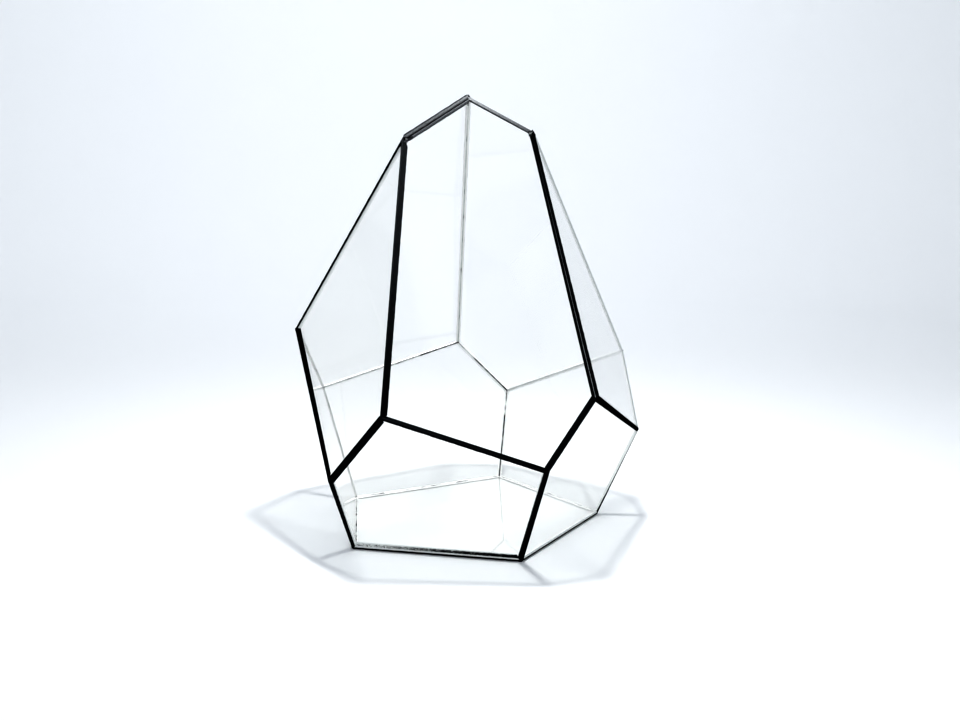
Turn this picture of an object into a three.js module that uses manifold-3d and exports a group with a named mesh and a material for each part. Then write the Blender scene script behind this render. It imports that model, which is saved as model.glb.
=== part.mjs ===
// Geometric glass terrarium: ten clear panes, each edged with copper foil and joined by soldered seams.
// One side is left open: its edge is a soldered rim. Millimetres, +Z up, the open side faces -Y.
import * as THREE from 'three';
import { mergeVertices } from 'three/addons/utils/BufferGeometryUtils.js';
import Module from 'manifold-3d';

const wasm = await Module();
wasm.setup();

// Every side of the terrarium lies in a plane. bearing is the compass angle that it faces in plan, from +X
// towards +Y; lean is how far it looks up (+) or down (-); reach is its distance from the base's middle.
const sides = {
  base: { bearing: 0, lean: -90, reach: 0 },
  lower_front: { bearing: 256.5, lean: -18, reach: 86 },
  lower_front_right: { bearing: 324.5, lean: -20, reach: 81.5 },
  lower_back_right: { bearing: 34.5, lean: -19, reach: 87.5 },
  lower_back: { bearing: 115.5, lean: -19, reach: 77.5 },
  lower_left: { bearing: 182.5, lean: -16.5, reach: 88.5 },
  opening: { bearing: 269.5, lean: 23.5, reach: 149 },
  upper_right: { bearing: 341, lean: 19, reach: 149 },
  upper_back_right: { bearing: 58, lean: 32, reach: 164 },
  upper_back_left: { bearing: 127, lean: 30, reach: 158.5 },
  upper_left: { bearing: 214.5, lean: 17, reach: 146.5 },
};

// Stock and workmanship
const glassThickness = 3;
const foilThickness = 0.1;
const film = 0.1; // clearance between glass and foil, and between foil and solder
const lap = 0.6; // how far foil and solder reach over each face of a pane
const seamRoom = 0.7; // from a pane's inner edge to the middle of its joint
const rimWall = 0.6; // solder beyond the foil on a free edge
const beadHeight = 0.9; // solder above the faces of the glass
const beadRadius = 2; // rounding of a seam along the outside of the body
const rimRadius = 0.8; // rounding of the rim's two edges
const featherEdge = 0.3; // bevel where solder runs out on the glass
const mitreGap = 0.3; // between the ends of the seams that meet at a corner

const skin = 2 * film + foilThickness; // from glass to solder
const arcSteps = 4;
const overrun = 15; // extra length of a seam before its ends are mitred
const blockSize = 60; // a cutting block, larger than any seam's end

const glass = new THREE.MeshStandardMaterial({
  color: 0xeef4f1, roughness: 0.02, metalness: 0, transparent: true, opacity: 0.25,
});
const foil = new THREE.MeshStandardMaterial({ color: 0xc9cbc8, roughness: 0.35, metalness: 1 });
const solder = new THREE.MeshStandardMaterial({ color: 0x15171a, roughness: 0.4, metalness: 0.8 });

// ---- The body that the sides enclose ----

function planeOf({ bearing, lean, reach }) {
  const normal = new THREE.Vector3().setFromSphericalCoords(
    1, Math.PI / 2 - THREE.MathUtils.degToRad(lean), THREE.MathUtils.degToRad(bearing));
  // setFromSphericalCoords has its pole on Y: turn it to Z, with bearing 0 on +X.
  return new THREE.Plane(new THREE.Vector3(normal.z, normal.x, normal.y), -reach);
}

const planes = new Map(Object.entries(sides).map(([name, side]) => [name, planeOf(side)]));
const names = [...planes.keys()];

// The point that three planes share.
function meet(...three) {
  const normals = new THREE.Matrix3().set(...three.flatMap((plane) => plane.normal.toArray()));
  return new THREE.Vector3(...three.map((plane) => -plane.constant)).applyMatrix3(normals.invert());
}

// A corner is where three sides meet, on or behind all the others.
function findCorners() {
  const corners = [];
  names.forEach((a, i) => names.slice(i + 1).forEach((b, j) => names.slice(i + j + 2).forEach((c) => {
    const point = meet(planes.get(a), planes.get(b), planes.get(c));
    const others = names.filter((name) => ![a, b, c].includes(name));
    if (others.every((name) => planes.get(name).distanceToPoint(point) < 0)) {
      corners.push({ point, sides: [a, b, c] });
    }
  })));
  return corners;
}

const corners = findCorners();
const cornersOf = (...wanted) => corners.filter((corner) => wanted.every((name) => corner.sides.includes(name)));

// An edge is shared by two sides and runs between two corners.
const edges = names.flatMap((a, i) => names.slice(i + 1).map((b) => ({ sides: [a, b], ends: cornersOf(a, b) })))
  .filter((edge) => edge.ends.length === 2);

// Direction in side a, square to its edge with side b, pointing out over the edge.
function outwardAcross(a, b) {
  return planes.get(b).normal.clone().projectOnPlane(planes.get(a).normal).normalize();
}

// Half the angle by which the body turns from side a to side b.
const halfTurn = (a, b) => planes.get(a).normal.angleTo(planes.get(b).normal) / 2;

// ---- Panes ----

// A pane's square-cut edge stands back from the body's edge, so that its inner arris clears the next pane.
function edgeInset(a, b) {
  return b === 'opening' ? rimWall + skin : glassThickness * Math.tan(halfTurn(a, b)) + seamRoom;
}

// Placement of a side: its middle, with x level and z pointing out.
function frameOf(name) {
  const ownCorners = cornersOf(name);
  const middle = ownCorners.reduce((sum, corner) => sum.add(corner.point), new THREE.Vector3())
    .divideScalar(ownCorners.length);
  const out = planes.get(name).normal;
  const level = name === 'base' ? new THREE.Vector3(1, 0, 0) : new THREE.Vector3(0, 0, 1).cross(out).normalize();
  return new THREE.Matrix4().makeBasis(level, out.clone().cross(level), out).setPosition(middle);
}

// The pane's outline in its own frame, moved out by grow.
function paneOutline(name, grow) {
  const toLocal = frameOf(name).invert();
  const cuts = edges.filter((edge) => edge.sides.includes(name)).map((edge) => {
    const other = edge.sides.find((side) => side !== name);
    const across = outwardAcross(name, other);
    const cut = new THREE.Plane().setFromNormalAndCoplanarPoint(across, edge.ends[0].point);
    cut.constant += edgeInset(name, other) - grow;
    const local = across.clone().transformDirection(toLocal);
    return { cut, angle: Math.atan2(local.y, local.x) };
  }).sort((first, second) => first.angle - second.angle);
  const outline = cuts.map(({ cut }, i) => {
    const next = cuts[(i + 1) % cuts.length].cut;
    const point = meet(planes.get(name), cut, next).applyMatrix4(toLocal);
    return new THREE.Vector2(point.x, point.y);
  });
  return new THREE.Shape(outline);
}

// A block with the pane's outline, from bottom to top along the pane's own z.
function paneBlock(name, grow, bottom, top) {
  const block = new THREE.ExtrudeGeometry(paneOutline(name, grow), { depth: top - bottom, bevelEnabled: false });
  return block.translate(0, 0, bottom);
}

// ---- Joining and cutting ----

function toSolid(geometry) {
  const bare = geometry.index ? geometry.toNonIndexed() : geometry.clone();
  bare.deleteAttribute('normal');
  bare.deleteAttribute('uv');
  const merged = mergeVertices(bare, 1e-4);
  return new wasm.Manifold(new wasm.Mesh({
    numProp: 3,
    vertProperties: new Float32Array(merged.attributes.position.array),
    triVerts: new Uint32Array(merged.index.array),
  }));
}

function toGeometry(solid) {
  const mesh = solid.getMesh();
  const geometry = new THREE.BufferGeometry();
  geometry.setAttribute('position', new THREE.BufferAttribute(mesh.vertProperties, 3));
  geometry.setIndex(new THREE.BufferAttribute(mesh.triVerts, 1));
  const faceted = geometry.toNonIndexed();
  faceted.computeVertexNormals();
  return faceted;
}

// A block that fills the outer side of a plane, around a point on it.
function cuttingBlock(point, outward) {
  const block = new THREE.BoxGeometry(blockSize, blockSize, blockSize).translate(0, 0, blockSize / 2);
  const turn = new THREE.Quaternion().setFromUnitVectors(new THREE.Vector3(0, 0, 1), outward);
  return toSolid(block.applyQuaternion(turn).translate(...point.toArray()));
}

// Foil is a channel folded round the pane's edge: a block, less the glass and less a window in its middle.
function foilChannel(name) {
  const shell = film + foilThickness;
  const block = toSolid(paneBlock(name, shell, -glassThickness - shell, shell));
  const bed = toSolid(paneBlock(name, film, -glassThickness - film, film));
  const window = toSolid(paneBlock(name, -lap, -2 * glassThickness, glassThickness));
  return toGeometry(block.subtract(bed).subtract(window));
}

// ---- Soldered seams ----

// Section of a seam between two panes: a rounded bead outside, a web between the panes, a fillet inside.
// x runs across the seam and y outwards, with the body's edge at the origin.
function seamSection(half) {
  const into = new THREE.Vector2(Math.cos(half), -Math.sin(half)); // along the right-hand pane
  const out = new THREE.Vector2(Math.sin(half), Math.cos(half)); // square to it
  const at = (along, above) => into.clone().multiplyScalar(along).addScaledVector(out, above);
  const glassEdge = glassThickness * Math.tan(half) + seamRoom;
  const reach = glassEdge + lap;
  const inside = -glassThickness;
  const arcMiddle = (beadHeight - beadRadius) / Math.cos(half);
  const right = [];
  for (let i = 0; i <= arcSteps; i++) {
    const angle = half * i / arcSteps;
    right.push(new THREE.Vector2(Math.sin(angle), Math.cos(angle)).multiplyScalar(beadRadius));
    right[i].y += arcMiddle;
  }
  right.push(at(reach - featherEdge, beadHeight), at(reach, skin + featherEdge / 2), at(reach, skin));
  right.push(at(glassEdge - skin, skin), at(glassEdge - skin, inside - skin));
  right.push(at(reach, inside - skin), at(reach, inside - skin - featherEdge / 2));
  return new THREE.Shape(mirrored(right));
}

// Closes a right-hand run of points with its mirror image about x = 0.
function mirrored(right) {
  const left = right.filter((point) => Math.abs(point.x) > 1e-6).map((point) => new THREE.Vector2(-point.x, point.y));
  return [...right, ...left.reverse()];
}

// Section of the rim on a free edge: a channel round the foil, with its two outer edges rounded.
// x runs into the pane from the body's edge, and y out of the pane.
function rimSection() {
  const reach = rimWall + skin + lap;
  const top = beadHeight;
  const bottom = -glassThickness - beadHeight;
  const shape = new THREE.Shape();
  shape.moveTo(rimRadius, top);
  shape.absarc(rimRadius, top - rimRadius, rimRadius, Math.PI / 2, Math.PI);
  shape.absarc(rimRadius, bottom + rimRadius, rimRadius, Math.PI, 1.5 * Math.PI);
  shape.lineTo(reach - featherEdge, bottom);
  shape.lineTo(reach, -glassThickness - skin - featherEdge / 2);
  shape.lineTo(reach, -glassThickness - skin);
  shape.lineTo(rimWall, -glassThickness - skin);
  shape.lineTo(rimWall, skin);
  shape.lineTo(reach, skin);
  shape.lineTo(reach, skin + featherEdge / 2);
  shape.lineTo(reach - featherEdge, top);
  return shape;
}

// Placement of a seam: the middle of its edge, with z along it. A rim's y is its pane's outward normal,
// and a joint's y points out midway between its two panes.
function seamFrame(edge) {
  const [start, end] = edge.ends.map((corner) => corner.point);
  const pane = edge.sides.find((name) => name !== 'opening');
  const isRim = edge.sides.includes('opening');
  const normals = edge.sides.map((name) => planes.get(name).normal);
  const out = isRim ? planes.get(pane).normal.clone() : normals[0].clone().add(normals[1]).normalize();
  const along = end.clone().sub(start).normalize();
  let across = out.clone().cross(along);
  if (isRim && across.dot(outwardAcross(pane, 'opening')) > 0) {
    along.negate();
    across = across.negate();
  }
  return new THREE.Matrix4().makeBasis(across, out, along).setPosition(start.clone().lerp(end, 0.5));
}

// The plane that parts this edge's seam from its neighbour's at a corner. It holds the line into the body
// at one depth from all three sides, and halves the angle between the two edges in the side that they share.
function mitrePlane(edge, corner, shared) {
  const third = corner.sides.find((name) => !edge.sides.includes(name));
  const inward = meet(...corner.sides.map((name) => new THREE.Plane(planes.get(name).normal, 1)));
  const runFrom = (sidePair) => {
    const farEnd = cornersOf(...sidePair).find((other) => other !== corner);
    return farEnd.point.clone().sub(corner.point).normalize();
  };
  const ownRun = runFrom(edge.sides);
  const halving = ownRun.clone().add(runFrom([shared, third]));
  const outward = inward.cross(halving).normalize();
  return outward.dot(ownRun) > 0 ? outward.negate() : outward;
}

function seamGeometry(edge) {
  const length = edge.ends[0].point.distanceTo(edge.ends[1].point) + 2 * overrun;
  const isRim = edge.sides.includes('opening');
  const section = isRim ? rimSection() : seamSection(halfTurn(...edge.sides));
  const bar = new THREE.ExtrudeGeometry(section, { depth: length, bevelEnabled: false, curveSegments: arcSteps });
  const frame = seamFrame(edge);
  let solid = toSolid(bar.translate(0, 0, -length / 2).applyMatrix4(frame));
  for (const corner of edge.ends) {
    for (const shared of edge.sides) {
      const outward = mitrePlane(edge, corner, shared);
      solid = solid.subtract(cuttingBlock(corner.point.clone().addScaledVector(outward, -mitreGap / 2), outward));
    }
  }
  return toGeometry(solid).applyMatrix4(frame.invert());
}

// ---- Assembly ----

const group = new THREE.Group();

function place(name, geometry, material, frame) {
  const mesh = new THREE.Mesh(geometry, material);
  mesh.name = name;
  frame.decompose(mesh.position, mesh.quaternion, mesh.scale);
  group.add(mesh);
}

for (const name of names.filter((side) => side !== 'opening')) {
  place(`pane_${name}`, paneBlock(name, 0, -glassThickness, 0), glass, frameOf(name));
  place(`foil_${name}`, foilChannel(name), foil, frameOf(name));
}

for (const edge of edges) {
  const isRim = edge.sides.includes('opening');
  const label = isRim ? `rim_${edge.sides.find((name) => name !== 'opening')}` : `seam_${edge.sides.join('_')}`;
  place(label, seamGeometry(edge), solder, seamFrame(edge));
}

// The terrarium stands on the flat underside of its base seams, with the middle of its outline at the origin.
const extent = new THREE.Box3().setFromObject(group, true);
const middle = extent.getCenter(new THREE.Vector3());
group.position.set(-middle.x, -middle.y, -extent.min.z);

export default group;
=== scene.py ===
"""The look of a geometric glass terrarium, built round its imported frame.

Ten panes of clear float glass keep the frame's own solids. Each is edged with a strip of silver-backed
copper tape, and the panes are joined by hand-run solder under a black patina. Tape, seams, rims and corner
joints are surfaces worked out here with numpy, in metres and in the frame's own axes: +Z up, -Y out of the
open side.
"""

from __future__ import annotations

import itertools
import logging
import math
from dataclasses import dataclass, field
from enum import Enum
from typing import Any

import bmesh
import bpy
import numpy as np
from mathutils import Euler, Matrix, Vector

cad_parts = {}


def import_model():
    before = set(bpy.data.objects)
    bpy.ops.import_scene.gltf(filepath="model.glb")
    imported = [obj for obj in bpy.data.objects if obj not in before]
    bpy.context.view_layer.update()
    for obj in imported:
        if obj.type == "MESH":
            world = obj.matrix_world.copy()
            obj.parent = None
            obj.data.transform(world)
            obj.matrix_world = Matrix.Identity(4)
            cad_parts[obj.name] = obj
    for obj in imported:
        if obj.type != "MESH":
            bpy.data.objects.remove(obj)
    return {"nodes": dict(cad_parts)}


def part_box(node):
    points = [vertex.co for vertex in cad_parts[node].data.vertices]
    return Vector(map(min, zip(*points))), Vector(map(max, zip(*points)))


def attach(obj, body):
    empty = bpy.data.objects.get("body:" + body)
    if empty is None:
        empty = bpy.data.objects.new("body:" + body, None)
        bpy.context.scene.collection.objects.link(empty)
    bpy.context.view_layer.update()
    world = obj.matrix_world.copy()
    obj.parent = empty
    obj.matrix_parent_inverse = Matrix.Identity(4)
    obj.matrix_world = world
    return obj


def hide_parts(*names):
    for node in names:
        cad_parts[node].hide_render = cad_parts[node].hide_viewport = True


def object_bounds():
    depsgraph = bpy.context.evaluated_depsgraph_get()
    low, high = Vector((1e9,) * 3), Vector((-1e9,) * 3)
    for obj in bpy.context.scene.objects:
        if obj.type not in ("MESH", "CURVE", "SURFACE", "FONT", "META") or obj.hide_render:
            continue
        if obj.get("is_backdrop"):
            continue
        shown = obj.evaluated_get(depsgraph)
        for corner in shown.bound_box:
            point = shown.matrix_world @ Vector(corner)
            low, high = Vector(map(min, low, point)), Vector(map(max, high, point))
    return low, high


LOG = logging.getLogger("terrarium")
MM = 0.001
BODY = "root"
FOLD = math.radians(40)  # faces that turn by more than this meet in a sharp fold


# ---- The body that the panes follow ----


@dataclass(frozen=True)
class Side:
    """A flat side of the body.

    bearing is the compass angle that it faces in plan, from +X towards +Y, and lean is how far it looks up
    (+) or down (-), both in degrees. reach is its distance in millimetres from the middle of the base.
    """

    bearing: float
    lean: float
    reach: float

    @property
    def normal(self) -> np.ndarray:
        """Works out which way the side faces.

        Returns:
            Its outward normal.
        """
        bearing, lean = math.radians(self.bearing), math.radians(self.lean)
        level = math.cos(lean)
        return np.array([level * math.cos(bearing), level * math.sin(bearing), math.sin(lean)])


OPENING = "opening"
SIDES = {
    "base": Side(0, -90, 0),
    "lower_front": Side(256.5, -18, 86),
    "lower_front_right": Side(324.5, -20, 81.5),
    "lower_back_right": Side(34.5, -19, 87.5),
    "lower_back": Side(115.5, -19, 77.5),
    "lower_left": Side(182.5, -16.5, 88.5),
    OPENING: Side(269.5, 23.5, 149),
    "upper_right": Side(341, 19, 149),
    "upper_back_right": Side(58, 32, 164),
    "upper_back_left": Side(127, 30, 158.5),
    "upper_left": Side(214.5, 17, 146.5),
}


@dataclass(frozen=True)
class Stock:
    """Sizes that every pane, tape and seam shares, in metres."""

    glass: float = 3.0 * MM
    seam_room: float = 0.7 * MM  # from a pane's inner arris to the middle of its joint
    rim_wall: float = 0.9 * MM  # from a free edge of glass to the plane of the opening
    lap: float = 0.6 * MM  # solder over each face of a pane
    inner_lap: float = 0.12 * MM  # the same inside the body
    crown: float = 0.9 * MM  # height of a bead over the glass
    ridge_radius: float = 2.0 * MM  # rounding of a seam along the outside of the body
    tape: float = 0.03 * MM  # height of the tape over the glass, where the solder starts
    bedded: float = 0.02 * MM  # how far the tape's glue side sits within the glass surface


STOCK = Stock()


@dataclass(frozen=True)
class Edge:
    """A line that two sides share, with the three sides that meet at each of its two corners."""

    sides: tuple[str, str]
    ends: tuple[frozenset[str], frozenset[str]]

    def third(self, end: frozenset[str]) -> str:
        """Gives the side that meets this edge at a corner."""
        return next(iter(end - set(self.sides)))


@dataclass
class FacetedBody:
    """The many-sided body whose sides the panes lie in, set where the frame has it."""

    normals: dict[str, np.ndarray] = field(default_factory=dict)
    reach: dict[str, float] = field(default_factory=dict)
    corners: dict[frozenset[str], np.ndarray] = field(default_factory=dict)
    edges: list[Edge] = field(default_factory=list)

    def build(self) -> FacetedBody:
        """Works out planes, corners and edges, and moves them onto the frame's base pane.

        Returns:
            The body itself.
        """
        self.normals = {name: side.normal for name, side in SIDES.items()}
        self.reach = {name: side.reach * MM for name, side in SIDES.items()}
        self._find_corners()
        for pair in itertools.combinations(SIDES, 2):
            ends = [key for key in self.corners if set(pair) <= key]
            if len(ends) == 2:
                self.edges.append(Edge(pair, tuple(ends)))
        low, high = (np.array(corner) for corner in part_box("pane_base"))
        outline = self.pane_outline("base")
        middle = (low + high - outline.min(0) - outline.max(0)) / 2
        shift = np.array([middle[0], middle[1], low[2]])
        self.reach = {name: far + float(self.normals[name] @ shift) for name, far in self.reach.items()}
        self.corners = {key: point + shift for key, point in self.corners.items()}
        return self

    def _find_corners(self) -> None:
        """Keeps each crossing of three sides that lies behind all the others."""
        parallel = 1e-6  # the determinant under which three sides don't cross in one point
        names = list(SIDES)
        rows = np.array([self.normals[name] for name in names])
        reach = np.array([self.reach[name] for name in names])
        triples = np.array(list(itertools.combinations(range(len(names)), 3)))
        triples = triples[np.abs(np.linalg.det(rows[triples])) > parallel]
        points = np.linalg.solve(rows[triples], reach[triples][..., None])[..., 0]
        above = points @ rows.T - reach
        np.put_along_axis(above, triples, -1.0, axis=1)  # its own three sides don't rule a crossing out
        kept = (above < 0).all(1)
        for triple, point in zip(triples[kept], points[kept]):
            self.corners[frozenset(names[i] for i in triple)] = point

    def meet(self, depths: dict[str, float]) -> np.ndarray:
        """Gives the point at a stated depth behind each of three sides.

        Args:
            depths: Side name to depth in metres, for three sides.

        Returns:
            The point where the three sunk planes cross.
        """
        rows = np.array([self.normals[name] for name in depths])
        return np.linalg.solve(rows, np.array([self.reach[name] - depth for name, depth in depths.items()]))

    def across(self, side: str, other: str) -> np.ndarray:
        """Gives the direction in a side, square to its edge with another, that points out over that edge."""
        flat = self.normals[other] - (self.normals[other] @ self.normals[side]) * self.normals[side]
        return flat / np.linalg.norm(flat)

    def half_turn(self, side: str, other: str) -> float:
        """Gives half the angle by which the body turns from one side to another."""
        return math.acos(float(self.normals[side] @ self.normals[other])) / 2

    def inset(self, side: str, other: str) -> float:
        """Works out how far a pane's square-cut edge stands back from the body's edge.

        Args:
            side: The pane's side.
            other: The side across the edge.

        Returns:
            The distance in metres, along the pane.
        """
        if other == OPENING:
            return STOCK.rim_wall
        return STOCK.glass * math.tan(self.half_turn(side, other)) + STOCK.seam_room

    def neighbours(self, side: str) -> list[str]:
        """Goes round a side.

        Args:
            side: Name of the side.

        Returns:
            The sides that it meets, in order round its outward normal.
        """
        around = [next(iter(set(edge.sides) - {side})) for edge in self.edges if side in edge.sides]
        first = self.across(side, around[0])
        second = np.cross(self.normals[side], first)
        over = {name: self.across(side, name) for name in around}
        turn = {name: math.atan2(way @ second, way @ first) for name, way in over.items()}
        return sorted(around, key=turn.get)

    def pane_outline(self, side: str) -> np.ndarray:
        """Cuts a pane out of its side.

        Args:
            side: Name of the side.

        Returns:
            Its corners on its outer face, in the order of its neighbours: each starts the edge with one.
        """
        around = self.neighbours(side)
        points = []
        for before, after in zip([around[-1], *around[:-1]], around):
            rows = [self.normals[side], self.across(side, before), self.across(side, after)]
            shares = [self.reach[side], self._cut(side, before), self._cut(side, after)]
            points.append(np.linalg.solve(np.array(rows), np.array(shares)))
        return np.array(points)

    def _cut(self, side: str, other: str) -> float:
        """Gives how far out along a side its pane is cut, towards another side."""
        on_edge = next(point for key, point in self.corners.items() if {side, other} <= key)
        return float(self.across(side, other) @ on_edge) - self.inset(side, other)


# ---- Meshes ----


@dataclass(frozen=True)
class Unevenness:
    """How one size of the handwork strays along a run: its longest wave in metres, and its usual amount."""

    longest: float
    amount: float

    def at(self, along: np.ndarray, seed: int) -> np.ndarray:
        """Gives how far the size strays.

        It is a sum of five sine waves, each about two thirds as long as the one before and with its own
        chance phase and strength, scaled so that it seldom passes plus or minus amount.

        Args:
            along: Distance along the run, in metres.
            seed: Which chance phases to use.

        Returns:
            An array like along.
        """
        waves, shorter, usual_peak = 5, 0.66, 2.2
        rng = np.random.default_rng(seed)
        total = np.zeros_like(along)
        for step in range(waves):
            wave = self.longest * shorter**step
            total += rng.uniform(0.5, 1.0) * np.sin(2 * math.pi * (along / wave + rng.uniform()))
        return total * self.amount / usual_peak


def join_rings(start: np.ndarray, end: np.ndarray) -> list[list[int]]:
    """Joins rings of points by four-sided faces.

    Args:
        start: Numbers of the points, one row for each ring.
        end: The same for the rings that these are joined to.

    Returns:
        The faces.
    """
    return np.stack([start, end, np.roll(end, -1, 1), np.roll(start, -1, 1)], -1).reshape(-1, 4).tolist()


def smooth_piece(name: str, points: np.ndarray, faces: list[list[int]]) -> bpy.types.Object:
    """Makes a smooth piece.

    Args:
        name: Name of the piece.
        points: Its points, in an array of any shape by 3.
        faces: Numbers of each face's points.

    Returns:
        The piece, linked to the scene.
    """
    mesh = bpy.data.meshes.new(name)
    mesh.from_pydata(points.reshape(-1, 3).tolist(), [], faces)
    mesh.polygons.foreach_set("use_smooth", np.ones(len(mesh.polygons), bool))
    piece = bpy.data.objects.new(name, mesh)
    bpy.context.scene.collection.objects.link(piece)
    return piece


def closed_piece(
    name: str, grid: np.ndarray, marks: dict[str, np.ndarray], is_ring: bool = False
) -> bpy.types.Object:
    """Makes a closed piece from a grid of sections, smooth but for its folds, with its faces outwards.

    Point (i, j) is point j of section i, and each section closes on itself. A ring's last section joins its
    first one, and any other run is closed by a cap at each end.

    Args:
        name: Name of the piece.
        grid: Points as an array of sections by points by 3.
        marks: Attribute name to a value for each point of the grid.
        is_ring: Whether the run of sections closes on itself.

    Returns:
        The piece, linked to the scene.
    """
    index = np.arange(grid[..., 0].size).reshape(grid.shape[:2])
    start, end = (index, np.roll(index, -1, 0)) if is_ring else (index[:-1], index[1:])
    caps = [] if is_ring else [index[0].tolist(), index[-1][::-1].tolist()]
    piece = smooth_piece(name, grid, join_rings(start, end) + caps)
    mesh = piece.data
    for key, values in marks.items():
        mark = mesh.attributes.new(key, "FLOAT", "POINT")
        mark.data.foreach_set("value", values.astype(np.float32).ravel())
    shell = bmesh.new()
    shell.from_mesh(mesh)
    bmesh.ops.recalc_face_normals(shell, faces=shell.faces)
    shell.to_mesh(mesh)
    shell.free()
    mesh.set_sharp_from_angle(angle=FOLD)
    return piece


def keep_within(piece: bpy.types.Object, low: Vector, high: Vector) -> None:
    """Moves any point of a piece that lies outside a box to the nearest one on it.

    Args:
        piece: The piece to change.
        low: The box's corner with the least x, y and z.
        high: Its opposite corner.
    """
    points = np.empty(len(piece.data.vertices) * 3, np.float32)
    piece.data.vertices.foreach_get("co", points)
    kept = np.clip(points.reshape(-1, 3), np.array(low), np.array(high))
    piece.data.vertices.foreach_set("co", kept.astype(np.float32).ravel())
    piece.data.update()


def dress(piece: bpy.types.Object, material: bpy.types.Material) -> None:
    """Gives a piece its material, its place on the body and the slot it wears, and reports it.

    Args:
        piece: The piece.
        material: Its material.
    """
    piece.data.materials.append(material)
    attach(piece, BODY)
    LOG.info("%s: %d faces", piece.name, len(piece.data.polygons))


# ---- Finishes ----

SHARE, FROM, TO, BLEND = 0, 6, 7, 2  # sockets of a colour Mix node: its share, two colours and output


def linear(hex_colour: str) -> tuple[float, float, float, float]:
    """Turns an sRGB colour linear, by sRGB's own curve: a short straight toe, then a power of 2.4.

    Args:
        hex_colour: The colour, such as "#1a2b3c".

    Returns:
        Linear red, green and blue, and an alpha of 1.
    """
    parts = np.array([int(hex_colour[i : i + 2], 16) for i in (1, 3, 5)]) / 255
    parts = np.where(parts <= 0.04045, parts / 12.92, ((parts + 0.055) / 1.055) ** 2.4)
    return (*(float(part) for part in parts), 1.0)


def add(
    tree: bpy.types.NodeTree, kind: str, inputs: dict[str | int, Any] | None = None, **settings: Any
) -> bpy.types.Node:
    """Adds a node, with its settings, its values and the links that come into it.

    Args:
        tree: The material's node tree.
        kind: The node's type name, without "ShaderNode".
        inputs: Input name or number to a value, or to the output socket that feeds it.
        settings: Properties of the node.

    Returns:
        The node.
    """
    node = tree.nodes.new("ShaderNode" + kind)
    for key, value in settings.items():
        setattr(node, key, value)
    for key, value in (inputs or {}).items():
        if isinstance(value, bpy.types.NodeSocket):
            tree.links.new(value, node.inputs[key])
        else:
            node.inputs[key].default_value = value
    return node


def new_material(name: str) -> tuple[bpy.types.Material, bpy.types.NodeTree, bpy.types.NodeSocket]:
    """Makes a material whose patterns lie in the object's own coordinates.

    Args:
        name: Name of the material.

    Returns:
        The material, its node tree and the coordinates.
    """
    material = bpy.data.materials.new(name)
    material.use_nodes = True
    material.node_tree.nodes.clear()
    return material, material.node_tree, add(material.node_tree, "TexCoord").outputs["Object"]


@dataclass(frozen=True)
class FloatGlass:
    """Clear soda-lime float glass: fire-polished faces, hardly any tint, a faint roller wave.

    Light from a lamp passes straight through and is dimmed, as it is by a real pane. The more slanting it
    comes, the more the pane's faces send back, so each group of panes has its own shade. Soft light passes
    with less loss, as it comes from every side.
    """

    name: str
    shade: str  # what each face lets through from a lamp
    soft: str = "#fcfcfc"  # what it lets through from every side
    tint: str = "#fefefd"
    ior: float = 1.52
    wave: float = 70 * MM  # length of the roller wave

    def material(self) -> bpy.types.Material:
        """Builds the glass, with plain dimmed stand-ins for light that only passes through it.

        Returns:
            The material.
        """
        material, tree, place = new_material(f"clear_float_glass_{self.name}")
        wave = add(tree, "TexNoise", {"Vector": place, "Scale": 1 / self.wave, "Detail": 1.0})
        bump = add(tree, "Bump", {"Height": wave.outputs["Fac"], "Strength": 0.02, "Distance": 1 * MM})
        glass = add(tree, "BsdfPrincipled", {
            "Base Color": linear(self.tint),
            "Roughness": 0.0,
            "IOR": self.ior,
            "Transmission Weight": 1.0,
            "Normal": bump.outputs["Normal"],
        })
        path = add(tree, "LightPath").outputs
        soft = add(tree, "BsdfTransparent", {"Color": linear(self.soft)})
        seen = add(tree, "MixShader", {0: path["Is Diffuse Ray"], 1: glass.outputs[0], 2: soft.outputs[0]})
        shade = add(tree, "BsdfTransparent", {"Color": linear(self.shade)})
        surface = add(tree, "MixShader", {0: path["Is Shadow Ray"], 1: seen.outputs[0], 2: shade.outputs[0]})
        add(tree, "OutputMaterial", {"Surface": surface.outputs[0]})
        return material


@dataclass(frozen=True)
class SilverBackedTape:
    """Rolled copper tape with a silvered back, seen through its clear glue.

    The glue dulls it to a pale satin, finely creased where it was pressed down.
    """

    bright: str = "#ffffff"
    dull: str = "#f4f5f3"
    crease: float = 1.6 * MM  # real ones lie closer, and are drawn this coarse so that they show
    patch: float = 9 * MM

    def material(self) -> bpy.types.Material:
        """Builds the tape: patches that vary its paleness, creases that catch the light.

        Returns:
            The material.
        """
        material, tree, place = new_material("silver_backed_copper_tape")
        creases = add(tree, "TexNoise", {
            "Vector": place, "Scale": 1 / self.crease, "Detail": 3.0, "Roughness": 0.6
        }).outputs["Fac"]
        patches = add(tree, "TexNoise", {"Vector": place, "Scale": 1 / self.patch, "Detail": 2.0})
        colour = add(tree, "Mix", {
            SHARE: patches.outputs["Fac"], FROM: linear(self.bright), TO: linear(self.dull)
        }, data_type="RGBA")
        rough = add(tree, "MapRange", {
            "Value": creases, "From Min": 0.3, "From Max": 0.7, "To Min": 0.46, "To Max": 0.62
        })
        bump = add(tree, "Bump", {"Height": creases, "Strength": 0.5, "Distance": 0.06 * MM})
        metal = add(tree, "BsdfPrincipled", {
            "Base Color": colour.outputs[BLEND],
            "Metallic": 0.35,
            "Roughness": rough.outputs[0],
            "Normal": bump.outputs["Normal"],
        })
        add(tree, "OutputMaterial", {"Surface": metal.outputs[0]})
        return material


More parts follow.
